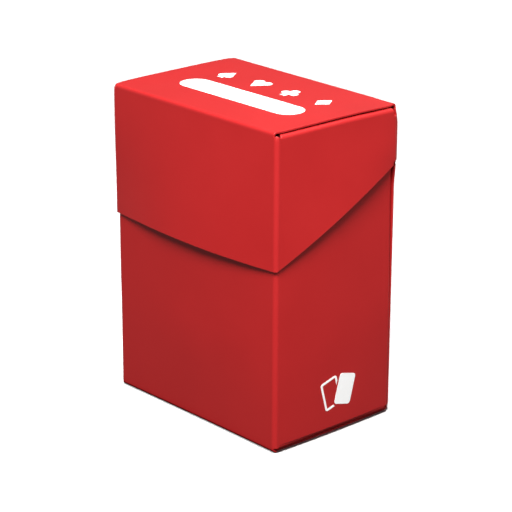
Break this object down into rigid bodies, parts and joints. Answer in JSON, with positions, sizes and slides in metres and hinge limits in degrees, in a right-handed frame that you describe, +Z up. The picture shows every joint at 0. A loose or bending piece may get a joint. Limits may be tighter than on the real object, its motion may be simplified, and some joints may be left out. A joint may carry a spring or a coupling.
{
  "type": "card deck box",
  "caption": "Upright flip-top deck box folded from thin plastic sheet, with a living hinge, slanted lid sides, glue tabs, a write-on label and a loose card divider.",
  "frame": {"origin": "middle of the base, on the surface that the box stands on", "axes": "+Z up, -Y out of the lid's deep front panel, +Y out of the hinged back, +X to the right seen from the front"},
  "size_m": [0.076, 0.0512, 0.0981],
  "materials": {
    "red_sheet": "satin, finely textured polypropylene sheet",
    "white_ink": "screen-printed white ink, slightly raised",
    "milky_sheet": "milky natural polypropylene sheet"
  },
  "bodies": {
    "box_body": {"front_panel": "red_sheet", "bottom_panel": "red_sheet", "back_panel": "red_sheet", "side_panel_right": "red_sheet", "side_panel_left": "red_sheet", "bottom_tab_right": "red_sheet", "bottom_tab_left": "red_sheet", "back_tab_right": "red_sheet", "back_tab_left": "red_sheet", "living_hinge": "red_sheet", "card_fan_print": "white_ink"},
    "lid": {"lid_front_panel": "red_sheet", "lid_top_panel": "red_sheet", "lid_back_panel": "red_sheet", "lid_side_right": "red_sheet", "lid_side_left": "red_sheet", "lid_top_tab_right": "red_sheet", "lid_top_tab_left": "red_sheet", "lid_back_tab_right": "red_sheet", "lid_back_tab_left": "red_sheet", "write_on_label": "white_ink", "suit_pips": "white_ink"},
    "divider": {"card_divider": "milky_sheet"}
  },
  "joints": [
    {"name": "lid_hinge", "type": "hinge", "parent": "box_body", "child": "lid", "pos_m": [0, 0.02425, 0.0795], "axis": [-1, 0, 0], "range_deg": [0, 180]},
    {"name": "divider_slide", "type": "slide", "parent": "box_body", "child": "divider", "axis": [0, 1, 0], "range_m": [-0.035, 0.0102]}
  ]
}
